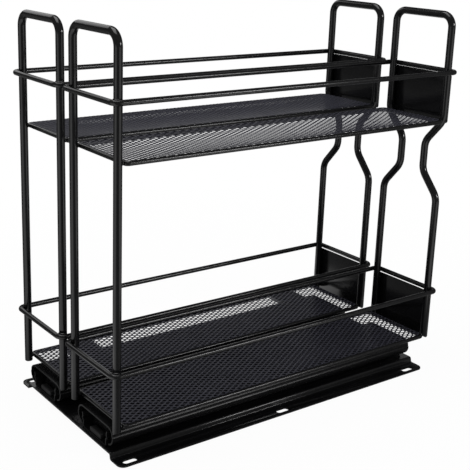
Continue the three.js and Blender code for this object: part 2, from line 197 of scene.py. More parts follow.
# Straps, and their screws with a cross recess. A profile is pairs of radius and height.
STRAP_Y = {"front": -103.5, "rear": 103.5}
STRAP_HALF_WIDTH = 11.65
STRAP_HALF_LENGTH = 29.1
STRAP_FOOT_Z = 21.75
STRAP_TOP_Z = 26.05
STRAP_THICKNESS = 1.0
STRAP_BEND = 1.0
SCREW_X = 10.0
SCREW_PROFILE = ((0, 18.55), (2.6, 18.55), (3.35, 18.85), (3.6, 19.4), (3.6, 20.35), (1.9, 20.35),
                 (1.9, 26.5), (0, 26.5))
RECESS_ARMS = ((3.4, 0.8, 1.2), (0.8, 3.4, 1.2))
RECESS_Z = 18.7
RECESS_EDGE = 0.15
RECESS_EDGE_STEPS = 1

# Rivets between the fixed rail and the base plate
RIVET_PLACES = (112.0, 20.0, -100.0)
RIVET_PROFILE = ((0, 2.95), (2.1, 2.95), (2.4, 3.2), (2.4, 3.85), (1.6, 3.85), (1.6, 6.55), (3.2, 6.55),
                 (3.1, 6.95), (2.6, 7.45), (1.6, 7.82), (0, 7.95))


# Shapes

def of_kind(kind, found):
    """What an operator returned, only the verts or only the edges."""
    return [item for item in found if isinstance(item, kind)]


def edges_of(verts):
    """The edges that meet in some verts, each one once."""
    return list(dict.fromkeys(edge for vert in verts for edge in vert.link_edges))


def everything(bm):
    return bm.verts[:] + bm.edges[:] + bm.faces[:]


def advance(bm, tip, step):
    """Extrudes a point or a chain of edges by a step, and returns its far end."""
    if isinstance(tip[0], BMVert):
        moved = bmesh.ops.extrude_vert_indiv(bm, verts=tip)["verts"]
        bmesh.ops.translate(bm, vec=step, verts=moved)
        return moved
    found = bmesh.ops.extrude_edge_only(bm, edges=tip)["geom"]
    moved = of_kind(BMVert, found)
    bmesh.ops.translate(bm, vec=step, verts=moved)
    far_end = set(moved)
    return [edge for edge in of_kind(BMEdge, found) if set(edge.verts) <= far_end]


def swing(bm, tip, centre, axis, angle):
    """Spins a point or a chain of edges round a bend, and returns its far end."""
    steps = max(FEWEST_BEND_STEPS, math.ceil(math.degrees(angle) / BEND_STEP))
    corners = dict.fromkeys(vert for edge in of_kind(BMEdge, tip) for vert in edge.verts)
    spun = bmesh.ops.spin(bm, geom=list(tip) + list(corners), cent=centre, axis=axis, angle=angle,
                          steps=steps, use_merge=False, use_duplicate=False)
    return of_kind(type(tip[0]), spun["geom_last"])


def follow(bm, tip, start, corners, bends):
    """Takes a point or a ring along straight stretches and round bends, as a bending machine does."""
    at = Vector(start)
    heading = (corners[0] - at).normalized()
    for corner, beyond, bend in zip(corners, corners[1:], bends):
        onward = (beyond - corner).normalized()
        turn = heading.angle(onward)
        setback = bend * math.tan(turn / 2)
        axis = heading.cross(onward).normalized()
        bend_start = corner - heading * setback
        tip = advance(bm, tip, bend_start - at)
        tip = swing(bm, tip, bend_start + axis.cross(heading) * bend, axis, turn)
        at = corner + onward * setback
        heading = onward
    return advance(bm, tip, corners[-1] - at)


def bent_wire(bm, corners, bends, diameter, sides, closed=False):
    """A round wire through the corners. A closed one is a ring that starts halfway along its last side."""
    corners = [Vector(corner) for corner in corners]
    start = (corners[0] + corners[-1]) / 2 if closed else corners[0]
    stops = corners + [start] if closed else corners[1:]
    facing = (stops[0] - start).to_track_quat("Z", "Y").to_matrix().to_4x4()
    place = Matrix.Translation(start) @ facing
    verts = bmesh.ops.create_circle(bm, radius=diameter / 2, segments=sides, matrix=place)["verts"]
    first = edges_of(verts)
    last = follow(bm, first, start, stops, bends)
    if closed:
        bmesh.ops.remove_doubles(bm, verts=bm.verts, dist=MERGE)
        return
    for ring in (first, last):
        cap = bmesh.ops.contextual_create(bm, geom=ring)["faces"][0]
        bmesh.ops.bevel(bm, geom=list(cap.edges), offset=CUT_EDGE, offset_type="OFFSET", segments=EDGE_STEPS,
                        profile=0.5, affect="EDGES", material=-1)


def wire_ring(half_width, half_length, bend, diameter, z):
    """A level rectangle of wire with bent corners."""
    bm = bmesh.new()
    corners = [(half_width, half_length, z), (-half_width, half_length, z),
               (-half_width, -half_length, z), (half_width, -half_length, z)]
    bent_wire(bm, corners, [bend] * len(corners), diameter, WIRE_SIDES, closed=True)
    return bm


def sheet_line(start, corners, bend):
    """The line along the middle of a bent sheet, seen from its end."""
    bm = bmesh.new()
    point = bm.verts.new(start)
    follow(bm, [point], start, [Vector(corner) for corner in corners], [bend] * len(corners))
    return bm


def drawn_out(bm, step):
    """Extrudes a line into a sheet with no thickness yet."""
    advance(bm, list(bm.edges), step)


def mirrored_x(bm):
    """Adds the other half of a shape that ends on the middle plane."""
    bmesh.ops.mirror(bm, geom=everything(bm), axis="X", merge_dist=MERGE)


def trim(bm, point, outward):
    """Shears a sheet along a line, and drops what lies outside it."""
    bmesh.ops.bisect_plane(bm, geom=everything(bm), plane_co=point, plane_no=outward, clear_outer=True,
                           dist=ON_THE_CUT)


def turned(bm, profile, x, y):
    """Spins a profile of radius and height about an upright axis."""
    points = [bm.verts.new((x + radius, y, z)) for radius, z in profile]
    edges = [bm.edges.new(pair) for pair in zip(points, points[1:])]
    bmesh.ops.spin(bm, geom=points + edges, cent=(x, y, 0), axis=(0, 0, 1), angle=2 * math.pi,
                   steps=TURNED_SIDES, use_merge=True, use_duplicate=False)
    bmesh.ops.remove_doubles(bm, verts=bm.verts, dist=MERGE)


def rounded_block(bm, size, middle, edge, steps=EDGE_STEPS):
    """A block with rounded edges."""
    place = Matrix.Translation(middle) @ Matrix.Diagonal((*size, 1))
    verts = bmesh.ops.create_cube(bm, size=1, matrix=place)["verts"]
    bmesh.ops.bevel(bm, geom=edges_of(verts), offset=edge, offset_type="OFFSET", segments=steps, profile=0.5,
                    affect="EDGES", material=-1)


def plate(bm, half_width, half_length, corner, place):
    """A flat outline with rounded corners."""
    grid = place @ Matrix.Diagonal((half_width, half_length, 1, 1))
    verts = bmesh.ops.create_grid(bm, x_segments=1, y_segments=1, size=1, matrix=grid)["verts"]
    bmesh.ops.bevel(bm, geom=verts, offset=corner, offset_type="OFFSET", segments=CORNER_STEPS, profile=0.5,
                    affect="VERTICES", material=-1)


# From shape to finished piece

def to_object(bm, name, x=0.0):
    """A piece's object at the origin, with its place in its mesh, in metres."""
    bmesh.ops.remove_doubles(bm, verts=bm.verts, dist=MERGE)
    bmesh.ops.recalc_face_normals(bm, faces=bm.faces)
    bm.transform(Matrix.Scale(MM, 4) @ Matrix.Translation((x, 0, 0)))
    mesh = bpy.data.meshes.new(name)
    bm.to_mesh(mesh)
    bm.free()
    piece = bpy.data.objects.new(name, mesh)
    bpy.context.scene.collection.objects.link(piece)
    return piece


def settle(piece):
    """Makes what the modifiers show the piece's own mesh."""
    bpy.context.view_layer.update()
    graph = bpy.context.evaluated_depsgraph_get()
    mesh = bpy.data.meshes.new_from_object(piece.evaluated_get(graph))
    piece.modifiers.clear()
    piece.data = mesh


def thicken(piece, thickness):
    """Gives a sheet its thickness, half to each side."""
    wall = piece.modifiers.new("wall", "SOLIDIFY")
    wall.thickness = thickness * MM
    wall.offset = 0
    wall.use_even_offset = True


def soften(piece, width, steps=SOFT_STEPS):
    """Rounds the edges of a piece."""
    edge = piece.modifiers.new("edge", "BEVEL")
    edge.width = width * MM
    edge.segments = steps
    edge.limit_method = "ANGLE"
    edge.angle_limit = math.radians(SOFT_ANGLE)


def upright_tool(bm, name, height):
    """A flat outline made into a tool that cuts straight down."""
    tool = to_object(bm, name)
    thicken(tool, height)
    settle(tool)
    return tool


def cut_away(piece, tool, operation="DIFFERENCE"):
    """Cuts a piece with a tool's shape, or keeps what lies inside it, and removes the tool."""
    cut = piece.modifiers.new("cut", "BOOLEAN")
    cut.operation = operation
    cut.object = tool
    cut.solver = "EXACT"
    settle(piece)
    bpy.data.objects.remove(tool)


def dress(piece, body, finish, nodes=(), sharp=SHARP_ANGLE):
    """Shades a piece, gives it its finish, and puts it on its body in place of its nodes."""
    settle(piece)
    mesh = piece.data
    mesh.shade_smooth()
    mesh.set_sharp_from_angle(angle=math.radians(sharp))
    mesh.materials.clear()
    mesh.materials.append(FINISHES[finish])
    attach(piece, body)
    if nodes:
        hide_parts(*nodes)


# Pieces on the base

def base_plate():
    """One pressing: a raised platform, a step down to a flange on each long side, and slots for screws."""
    corners = [(RISER_TOP_X, BASE_FRONT, PLATFORM_Z), (RISER_FOOT_X, BASE_FRONT, FLANGE_Z),
               (BASE_HALF_WIDTH, BASE_FRONT, FLANGE_Z)]
    bm = sheet_line((0, BASE_FRONT, PLATFORM_Z), corners, RISER_BEND)
    mirrored_x(bm)
    drawn_out(bm, Vector((0, BASE_REAR - BASE_FRONT, 0)))
    pressing = to_object(bm, "base_pressing")
    thicken(pressing, SHEET)
    settle(pressing)
    outline = bmesh.new()
    middle = Matrix.Translation((0, (BASE_FRONT + BASE_REAR) / 2, 0))
    plate(outline, BASE_HALF_WIDTH, (BASE_REAR - BASE_FRONT) / 2, BASE_CORNER, middle)
    cut_away(pressing, upright_tool(outline, "plan_tool", PLAN_TOOL_HEIGHT), "INTERSECT")
    slots = bmesh.new()
    for side in (-1, 1):
        for y in SLOT_PLACES:
            place = Matrix.Translation((side * SLOT_X, y, 0))
            plate(slots, SLOT_SIZE[0] / 2, SLOT_SIZE[1] / 2, SLOT_CORNER, place)
    cut_away(pressing, upright_tool(slots, "slot_tool", SLOT_TOOL_HEIGHT))
    soften(pressing, SHEET_EDGE)
    dress(pressing, "base", "powder coat", ["base_plate"])


def bed_rail(rack, x):
    """The fixed rail: a channel whose flanges end in the inner ball races."""
    foot, top = (math.radians(angle) for angle in RACE_SPAN)
    race_middle = Vector((BALL_X, BED_FRONT, ROLL_Z))
    race_foot = race_middle + RACE_RADIUS * Vector((math.cos(foot), 0, math.sin(foot)))
    bm = bmesh.new()
    start = Vector((0, BED_FRONT, BED_WEB_Z))
    corners = [Vector((BED_FLANGE_X, BED_FRONT, BED_WEB_Z)),
               Vector((BED_FLANGE_X, BED_FRONT, BED_FLANGE_TOP)), race_foot]
    tip = follow(bm, [bm.verts.new(start)], start, corners, [BED_BEND] * len(corners))
    swing(bm, tip, race_middle, (0, 1, 0), foot - top)
    mirrored_x(bm)
    drawn_out(bm, Vector((0, BED_REAR - BED_FRONT, 0)))
    rail = to_object(bm, f"{rack}_bed_rail", x)
    thicken(rail, SHEET)
    soften(rail, RAIL_EDGE)
    dress(rail, "base", "rail coat", [f"{rack}_fixed_rail"])


def rivets(rack, x):
    """Rivets that hold the fixed rail on the base plate."""
    bm = bmesh.new()
    for y in RIVET_PLACES:
        turned(bm, RIVET_PROFILE, 0, y)
    heads = to_object(bm, f"{rack}_rivets", x)
    dress(heads, "base", "zinc", [f"{rack}_rail_rivet_{i + 1}" for i in range(len(RIVET_PLACES))])


def stop_blocks(rack, x):
    """Moulded blocks on the fixed rail that the lug meets at the ends of its travel."""
    for stop, (y, length, stands_for) in STOPS.items():
        bm = bmesh.new()
        middle = (0, y, STOP_FOOT_Z + STOP_HEIGHT / 2)
        rounded_block(bm, (STOP_WIDTH, length, STOP_HEIGHT), middle, STOP_EDGE, STOP_EDGE_STEPS)
        block = to_object(bm, f"{rack}_{stop}_block", x)
        dress(block, "base", "plastic", [f"{rack}_{stands_for}"])


# Pieces of the slide that move

def collar(bm, x, y):
    """A ring round a ball, where the strip is pressed out to hold it."""
    place = Matrix.Translation((x, y + BALL_RADIUS, ROLL_Z))
    verts = bmesh.ops.create_circle(bm, radius=COLLAR_RADIUS, segments=COLLAR_SIDES, matrix=place)["verts"]
    bmesh.ops.spin(bm, geom=verts + edges_of(verts), cent=(x, y, ROLL_Z), axis=(1, 0, 0), angle=2 * math.pi,
                   steps=COLLAR_STEPS, use_merge=True, use_duplicate=False)


def ball_cages(rack, x):
    """Two strips with a collar for each ball, and the balls in them."""
    places = [CAGE_MIDDLE + (i - (BALL_COUNT - 1) / 2) * BALL_SPACING for i in range(BALL_COUNT)]
    for label, side in (("a", -1), ("b", 1)):
        strip = bmesh.new()
        middle = (side * BALL_X, CAGE_MIDDLE, ROLL_Z)
        rounded_block(strip, (CAGE_THICKNESS, CAGE_LENGTH, CAGE_HEIGHT), middle, CAGE_EDGE)
        balls = bmesh.new()
        for y in places:
            collar(strip, side * BALL_X, y)
            ball = Matrix.Translation((side * BALL_X, y, ROLL_Z))
            bmesh.ops.create_icosphere(balls, subdivisions=BALL_FINENESS, radius=BALL_RADIUS, matrix=ball)
        held = to_object(strip, f"{rack}_cage_strip_{label}", x)
        dress(held, f"{rack}_cages", "zinc", [f"{rack}_ball_cage_{label}"])
        dress(to_object(balls, f"{rack}_balls_{label}", x), f"{rack}_cages", "ball steel")


def carrier_rail(rack, x):
    """The moving rail: a web with rolled edges that hold the balls, and a shallow groove along each."""
    bm = bmesh.new()
    point = bm.verts.new((0, CARRIER_FRONT, WEB_Z))
    edge = advance(bm, [point], Vector((ROLL_X, 0, 0)))
    swing(bm, edge, (ROLL_X, CARRIER_FRONT, ROLL_Z), (0, 1, 0), math.radians(ROLL_SWEEP))
    for vert in bm.verts:
        outward = Vector((vert.co.x - ROLL_X, 0, vert.co.z - ROLL_Z))
        if GROOVE_SPAN[0] < math.degrees(math.atan2(outward.x, outward.z)) < GROOVE_SPAN[1]:
            vert.co -= outward.normalized() * GROOVE_DEPTH
    mirrored_x(bm)
    drawn_out(bm, Vector((0, CARRIER_REAR - CARRIER_FRONT, 0)))
    rail = to_object(bm, f"{rack}_carrier_rail", x)
    thicken(rail, SHEET)
    soften(rail, RAIL_EDGE)
    dress(rail, f"{rack}_rack", "rail coat", [f"{rack}_moving_rail"], RAIL_SHARP_ANGLE)


def stop_lug(rack, x):
    """The lug folded down from the moving rail at its rear, which meets the stops."""
    corners = [(0, LUG_Y, LUG_TOP_Z), (0, LUG_Y - LUG_TAB, LUG_TOP_Z)]
    bm = sheet_line((0, LUG_Y, LUG_FOOT_Z), corners, LUG_BEND)
    bmesh.ops.translate(bm, verts=bm.verts, vec=(-LUG_WIDTH / 2, 0, 0))
    drawn_out(bm, Vector((LUG_WIDTH, 0, 0)))
    lug = to_object(bm, f"{rack}_stop_lug", x)
    thicken(lug, SHEET)
    soften(lug, LUG_EDGE, EDGE_STEPS)
    dress(lug, f"{rack}_rack", "rail coat")


def strap_screws(rack, x, end, y):
    """Two pan-head screws that hold a strap from below. The arms of the cross recess are cut one by one."""
    bm = bmesh.new()
    for side in (-1, 1):
        turned(bm, SCREW_PROFILE, side * SCREW_X, y)
    screws = to_object(bm, f"{rack}_{end}_strap_screws", x)
    for arm in RECESS_ARMS:
        recess = bmesh.new()
        for side in (-1, 1):
            rounded_block(recess, arm, (side * SCREW_X, y, RECESS_Z), RECESS_EDGE, RECESS_EDGE_STEPS)
        cut_away(screws, to_object(recess, "recess_tool", x))
    dress(screws, f"{rack}_rack", "zinc", [f"{rack}_{end}_strap_screw_a", f"{rack}_{end}_strap_screw_b"])


def straps(rack, x):
    """Shallow channels across the moving rail, open side down, which carry the lower shelf."""
    for end, y in STRAP_Y.items():
        left = -STRAP_HALF_LENGTH
        near, far = y - STRAP_HALF_WIDTH, y + STRAP_HALF_WIDTH
        corners = [(left, near, STRAP_TOP_Z), (left, far, STRAP_TOP_Z), (left, far, STRAP_FOOT_Z)]
        bm = sheet_line((left, near, STRAP_FOOT_Z), corners, STRAP_BEND)
        drawn_out(bm, Vector((2 * STRAP_HALF_LENGTH, 0, 0)))
        channel = to_object(bm, f"{rack}_{end}_strap_channel", x)
        thicken(channel, STRAP_THICKNESS)
        soften(channel, SHEET_EDGE)
        dress(channel, f"{rack}_rack", "powder coat", [f"{rack}_{end}_strap"])
        strap_screws(rack, x, end, y)


# Pieces of a rack

def rear_loop(rack, x):
    """An inverted U of thick wire."""
    foot = LOOP_FOOT_Z["rear"]
    top = LOOP_TOP_Z["rear"]
    corners = [(-POST_X, LOOP_Y, foot), (-POST_X, LOOP_Y, top), (POST_X, LOOP_Y, top), (POST_X, LOOP_Y, foot)]
    bm = bmesh.new()
    bent_wire(bm, corners, [LOOP_BEND] * 2, POST_DIAMETER, POST_SIDES)
    rear = to_object(bm, f"{rack}_rear_loop_wire", x)
    dress(rear, f"{rack}_rack", "powder coat", [f"{rack}_rear_loop"])


def front_loop(rack, x):
    """An inverted U of thick wire whose legs pinch in like a bottle neck."""
    leg = [(POST_X, LOOP_FOOT_Z["front"]), (POST_X, HIP_Z[0]), (NECK_X, HIP_Z[1]), (NECK_X, SHOULDER_Z[0]),
           (POST_X, SHOULDER_Z[1]), (POST_X, LOOP_TOP_Z["front"])]
    right_leg = [(across, -LOOP_Y, z) for across, z in leg]
    left_leg = [(-across, -LOOP_Y, z) for across, z in reversed(leg)]
    neck_bends = [NECK_BEND] * 4
    bm = bmesh.new()
    bent_wire(bm, right_leg + left_leg, neck_bends + [LOOP_BEND] * 2 + neck_bends, POST_DIAMETER, POST_SIDES)
    front = to_object(bm, f"{rack}_front_loop_wire", x)
    dress(front, f"{rack}_rack", "powder coat", [f"{rack}_front_loop"])


def rings(rack, x, tier):
    """The guard ring round the loops and the shelf ring between them."""
    bm = wire_ring(POST_X + GUARD_OFFSET, LOOP_Y + GUARD_OFFSET, GUARD_OFFSET, GUARD_DIAMETER, GUARD_Z[tier])
    guard = to_object(bm, f"{rack}_{tier}_guard_ring", x)
    dress(guard, f"{rack}_rack", "powder coat", [f"{rack}_{tier}_guard_wire"])
    bm = wire_ring(SHELF_HALF_WIDTH, SHELF_HALF_LENGTH, SHELF_BEND, SHELF_DIAMETER, SHELF_Z[tier])
    shelf = to_object(bm, f"{rack}_{tier}_shelf_ring", x)
    dress(shelf, f"{rack}_rack", "powder coat", [f"{rack}_{tier}_shelf_frame"])


def off_the_sheet(face):
    middle = face.calc_center_median()
    return (abs(middle.x) > MESH_HALF_WIDTH + DIAMOND_WIDTH
            or abs(middle.y) > MESH_HALF_LENGTH + DIAMOND_LENGTH)


def diamond_net(lift):
    """A net of strands round diamond openings, larger than a shelf, with one side of each strand lifted."""
    bm = bmesh.new()
    reach = math.ceil(MESH_HALF_WIDTH / DIAMOND_WIDTH + MESH_HALF_LENGTH / DIAMOND_LENGTH) + 1
    bmesh.ops.create_grid(bm, x_segments=2 * reach, y_segments=2 * reach, size=reach)
    bmesh.ops.rotate(bm, verts=bm.verts, cent=(0, 0, 0), matrix=Matrix.Rotation(QUARTER_TURN / 2, 3, "Z"))
    stretch = (DIAMOND_WIDTH / math.sqrt(2), DIAMOND_LENGTH / math.sqrt(2), 1)
    bmesh.ops.scale(bm, verts=bm.verts, vec=stretch)
    bmesh.ops.delete(bm, geom=[face for face in bm.faces if off_the_sheet(face)], context="FACES")
    diamonds = list(bm.faces)
    bmesh.ops.inset_individual(bm, faces=diamonds, thickness=STRAND_WIDTH / 2, use_even_offset=True)
    for diamond in diamonds:
        tips = sorted(diamond.verts, key=lambda vert: vert.co.x)
        tips[0].co.z -= lift
        tips[-1].co.z += lift
    bmesh.ops.delete(bm, geom=diamonds, context="FACES_ONLY")
    return bm


def sheared(bm):
    """Cuts a net to the outline of a shelf, with its corners clipped."""
    for side in (-1, 1):
        trim(bm, (side * MESH_HALF_WIDTH, 0, 0), (side, 0, 0))
        trim(bm, (0, side * MESH_HALF_LENGTH, 0), (0, side, 0))
        for end in (-1, 1):
            corner = (side * (MESH_HALF_WIDTH - MESH_CORNER_CUT), end * MESH_HALF_LENGTH, 0)
            trim(bm, corner, (side, end, 0))
    loose = [vert for vert in bm.verts if not vert.link_faces]
    bmesh.ops.delete(bm, geom=loose, context="VERTS")


def expanded_metal(rack, x, tier):
    """A shelf of expanded metal. An upper one hangs a little between the wires that carry it."""
    bm = diamond_net(STRAND_LIFT * LIFTED_SIDE[f"{rack}_{tier}"])
    sheared(bm)
    for vert in bm.verts:
        across = (vert.co.x / MESH_HALF_WIDTH) ** SAG_POWER_ACROSS
        along = (vert.co.y / MESH_HALF_LENGTH) ** SAG_POWER_ALONG
        vert.co.z -= MESH_SAG[tier] * (1 - across) * (1 - along)
    bmesh.ops.translate(bm, verts=bm.verts, vec=(0, 0, SHELF_Z[tier] + MESH_MIDDLE))
    sheet = to_object(bm, f"{rack}_{tier}_expanded_metal", x)
    thicken(sheet, STRAND_THICKNESS)
    dress(sheet, f"{rack}_rack", "mesh coat and painted sheen", [f"{rack}_{tier}_mesh"])


def front_panel(rack, x, tier):
    """A flat panel across the front loop, with rounded corners and softened edges."""
    foot, top = PANEL_SPAN[tier]
    middle = Matrix.Translation((0, PANEL_BACK_Y - PANEL_THICKNESS / 2, (foot + top) / 2))
    upright = middle @ Matrix.Rotation(QUARTER_TURN, 4, "X")
    bm = bmesh.new()
    plate(bm, PANEL_HALF_WIDTH, (top - foot) / 2, PANEL_CORNER, upright)
    panel = to_object(bm, f"{rack}_{tier}_panel_sheet", x)
    thicken(panel, PANEL_THICKNESS)
    soften(panel, PANEL_EDGE)
    dress(panel, f"{rack}_rack", "powder coat", [f"{rack}_{tier}_front_panel"])


def fillet(bm, side, end, z):
    """A run of weld in the groove between a guard ring and a post, round the post's outer corner."""
    reach = LOOP_Y + POST_DIAMETER / 2 + FILLET_OFFSET
    place = Matrix.Translation((side * POST_X, end * reach, z)) @ Matrix.Rotation(QUARTER_TURN, 4, "Y")
    verts = bmesh.ops.create_circle(bm, cap_ends=True, radius=FILLET_RADIUS, segments=FILLET_SIDES,
                                    matrix=place)["verts"]
    axis = Vector((0, 0, -side * end))
    last = swing(bm, edges_of(verts), Vector((side * POST_X, end * LOOP_Y, z)), axis, QUARTER_TURN)
    bmesh.ops.contextual_create(bm, geom=last)


def bead(bm, middle):
    """A small bead of weld."""
    place = Matrix.Translation(middle) @ Matrix.Diagonal((*BEAD_HALF_SIZE, 1))
    bmesh.ops.create_icosphere(bm, subdivisions=BEAD_FINENESS, radius=1, matrix=place)


def welds(rack, x):
    """Fillets where the guard rings meet the loops, and beads where the shelf rings do."""
    bm = bmesh.new()
    for side in (-1, 1):
        for end in (-1, 1):
            for tier in TIERS:
                for level in (-FILLET_LEVEL, FILLET_LEVEL):
                    fillet(bm, side, end, GUARD_Z[tier] + level)
                bead(bm, (side * POST_X, end * BEAD_Y, SHELF_Z[tier]))
    dress(to_object(bm, f"{rack}_welds", x), f"{rack}_rack", "powder coat")


# Shader nodes

VECTOR = "NodeSocketVector"
NUMBER = "NodeSocketFloat"
COLOUR = "NodeSocketColor"


def put(tree, value, socket):
    """Links a socket to an input, or sets a plain value there."""
    if isinstance(value, bpy.types.NodeSocket):
        tree.links.new(value, socket)
    else:
        socket.default_value = value


def node(tree, kind, **inputs):
    """A shader node with the given inputs set. Inputs that are sockets are linked."""
    made = tree.nodes.new(kind)
    for name, value in inputs.items():
        put(tree, value, made.inputs[name.replace("_", " ")])
    return made


def computed(tree, operation, *values, kind="ShaderNodeMath"):
    """The outputs of a math node on values or sockets."""
    made = tree.nodes.new(kind)
    made.operation = operation
    for value, socket in zip(values, made.inputs):
        put(tree, value, socket)
    return made.outputs


def maximum(tree, one, other):
    return computed(tree, "MAXIMUM", one, other)["Value"]


def product(tree, one, other):
    return computed(tree, "MULTIPLY", one, other)["Value"]


def ramp(tree, value, low, high, out_low=0.0, out_high=1.0):
    """Takes a value from one span to another."""
    made = node(tree, "ShaderNodeMapRange", Value=value, From_Min=low, From_Max=high, To_Min=out_low,
                To_Max=out_high)
    return made.outputs["Result"]


def noise(tree, place, scale, detail, roughness=0.5):
    made = node(tree, "ShaderNodeTexNoise", Vector=place, Scale=scale, Detail=detail, Roughness=roughness)
    return made.outputs["Fac"]


def blended(tree, share, one, other):
    """Mixes two colours."""
    made = tree.nodes.new("ShaderNodeMix")
    made.data_type = "RGBA"
    put(tree, share, made.inputs["Factor"])
    put(tree, one, made.inputs["A"])
    put(tree, other, made.inputs["B"])
    return made.outputs["Result"]


def chosen(tree, share, one, other):
    """Mixes two shaders."""
    made = node(tree, "ShaderNodeMixShader", Fac=share)
    tree.links.new(one, made.inputs[1])
    tree.links.new(other, made.inputs[2])
    return made.outputs[0]


def group(name, inputs, outputs):
    """An empty shader node group with named sockets, and its two ends."""
    tree = bpy.data.node_groups.new(name, "ShaderNodeTree")
    for label, kind in inputs.items():
        tree.interface.new_socket(label, in_out="INPUT", socket_type=kind)
    for label, kind in outputs.items():
        tree.interface.new_socket(label, in_out="OUTPUT", socket_type=kind)
    return tree, tree.nodes.new("NodeGroupInput").outputs, tree.nodes.new("NodeGroupOutput").inputs


def placed_group(tree, made, **inputs):
    """Puts a group into a finish with its own values, and returns its outputs."""
    used = tree.nodes.new("ShaderNodeGroup")
    used.node_tree = made
    for name, value in inputs.items():
        put(tree, value, used.inputs[name])
    return used.outputs


# Finishes

# Coating: how fine its drift and its specks are, the levels of noise between which they come in, and how much
# each lightens the colour
DRIFT_SCALE = 38.0
DRIFT_SPAN = (0.3, 0.7)
DRIFT_SHARE = 0.4
SPECK_SCALE = 2600.0
SPECK_SPAN = (0.6, 0.78)
SPECK_SHARE = 0.6

# Draw lines: their scale along the part, the levels of noise between which the gloss changes, and how much
# darker than the metal they are
LINE_STRETCH = 0.02
LINE_SPAN = (0.3, 0.7)
LINE_SHADE = 0.8

# Depth in metres, and strength, of the coating's orange peel, the rail's lines and the plastic's grain
PEEL_BUMP = (0.00012, 0.2)
LINE_BUMP = (0.00006, 0.2)
GRAIN_BUMP = (0.00008, 0.35)


def coat_group():
    """Baked coating: fine orange peel, a drift of gloss over larger areas, and small specks."""
    tree, given, result = group(
        "baked_coat",
        {"Place": VECTOR, "Peel": NUMBER, "Dark": COLOUR, "Light": COLOUR, "Smooth": NUMBER, "Rough": NUMBER},
        {"Colour": COLOUR, "Roughness": NUMBER, "Height": NUMBER})
    peel = noise(tree, given["Place"], given["Peel"], detail=2.0, roughness=0.45)
    drift = ramp(tree, noise(tree, given["Place"], DRIFT_SCALE, detail=3.0, roughness=0.55), *DRIFT_SPAN)
    specks = ramp(tree, noise(tree, given["Place"], SPECK_SCALE, detail=1.0), *SPECK_SPAN)
    lighter = ramp(tree, drift, 0.0, 1.0, 0.0, DRIFT_SHARE)
    light_share = computed(tree, "MULTIPLY_ADD", specks, SPECK_SHARE, lighter)["Value"]
    tree.links.new(blended(tree, light_share, given["Dark"], given["Light"]), result["Colour"])
    tree.links.new(ramp(tree, drift, 0.0, 1.0, given["Smooth"], given["Rough"]), result["Roughness"])
    tree.links.new(peel, result["Height"])
    return tree


def draw_lines_group():
    """Fine lines along a rolled or drawn part, which run along Y."""
    tree, given, result = group("draw_lines", {"Place": VECTOR, "Fineness": NUMBER}, {"Lines": NUMBER})
    along = node(tree, "ShaderNodeMapping", Vector=given["Place"], Scale=(1.0, LINE_STRETCH, 1.0))
    tree.links.new(noise(tree, along.outputs["Vector"], given["Fineness"], detail=3.0), result["Lines"])
    return tree


def new_finish(name):
    """An empty finish: its node tree, its shader and the object's own coordinates."""
    material = bpy.data.materials.new(name)
    material.use_nodes = True
    tree = material.node_tree
    shader = tree.nodes["Principled BSDF"]
    place = tree.nodes.new("ShaderNodeTexCoord").outputs["Object"]
    return material, tree, shader, place


def bumped(tree, shader, height, distance, strength):
    """Gives a finish its fine relief."""
    made = node(tree, "ShaderNodeBump", Height=height, Distance=distance, Strength=strength)
    tree.links.new(made.outputs["Normal"], shader.inputs["Normal"])


def coat_over(tree, shader, place, dark, light, smooth, rough, peel):
    """Puts the baked coating on a shader, and returns the height of its orange peel."""
    coat = placed_group(tree, BAKED_COAT, Place=place, Peel=peel, Dark=(*dark, 1), Light=(*light, 1),
                        Smooth=smooth, Rough=rough)
    tree.links.new(coat["Colour"], shader.inputs["Base Color"])
    tree.links.new(coat["Roughness"], shader.inputs["Roughness"])
    return coat["Height"]


def coated(name, shine, **coat):
    """Black coating on steel."""
    material, tree, shader, place = new_finish(name)
    height = coat_over(tree, shader, place, **coat)
    shader.inputs["Specular IOR Level"].default_value = shine
    bumped(tree, shader, height, *PEEL_BUMP)
    return material


def rail_finish():
    """Thin black coating on a drawn rail, with its draw lines showing through."""
    material, tree, shader, place = new_finish("rail_coat")
    coat_over(tree, shader, place, dark=(0.004, 0.004, 0.0042), light=(0.007, 0.007, 0.0075),
              smooth=0.22, rough=0.3, peel=1100.0)
    lines = placed_group(tree, DRAW_LINES, Place=place, Fineness=900.0)
    shader.inputs["Specular IOR Level"].default_value = 0.15
    bumped(tree, shader, lines["Lines"], *LINE_BUMP)
    return material


def bright_metal(name, colour, smooth, rough):
    """Bright zinc or bare steel, with fine lines from making."""
    material, tree, shader, place = new_finish(name)
    lines = placed_group(tree, DRAW_LINES, Place=place, Fineness=1600.0)["Lines"]
    shader.inputs["Metallic"].default_value = 1.0
    darker = [LINE_SHADE * part for part in colour]
    tree.links.new(blended(tree, lines, (*darker, 1), (*colour, 1)), shader.inputs["Base Color"])
    tree.links.new(ramp(tree, lines, *LINE_SPAN, smooth, rough), shader.inputs["Roughness"])
    return material


def plastic_finish():
    """Black moulded plastic with a fine spark-eroded grain."""
    material, tree, shader, place = new_finish("moulded_plastic")
    height = coat_over(tree, shader, place, dark=(0.006, 0.006, 0.0065), light=(0.012, 0.012, 0.0125),
                       smooth=0.5, rough=0.62, peel=2400.0)
    bumped(tree, shader, height, *GRAIN_BUMP)
    return material


